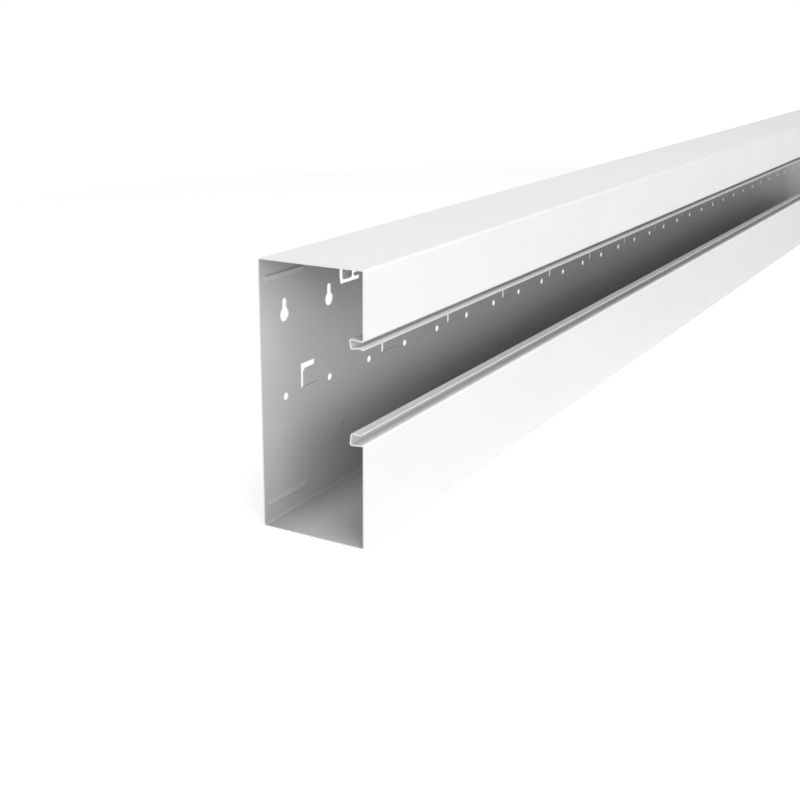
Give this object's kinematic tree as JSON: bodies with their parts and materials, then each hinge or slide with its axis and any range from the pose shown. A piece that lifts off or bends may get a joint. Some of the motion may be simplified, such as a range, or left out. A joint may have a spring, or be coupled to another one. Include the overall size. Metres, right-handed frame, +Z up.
{
  "type": "steel cable trunking",
  "caption": "Folded sheet-steel cable trunking, open along its front between two lips for a clip-on cover, with a punched back wall for screws.",
  "frame": {"origin": "middle of the footprint, on the underside of the bottom wall", "axes": "+X along the length, -Y out of the open front, +Y towards the building wall, +Z up"},
  "size_m": [2, 0.09, 0.21],
  "materials": {
    "white_coat": "matt white powder coat on steel sheet"
  },
  "bodies": {
    "root": {"trunking_base": "white_coat"}
  },
  "joints": []
}
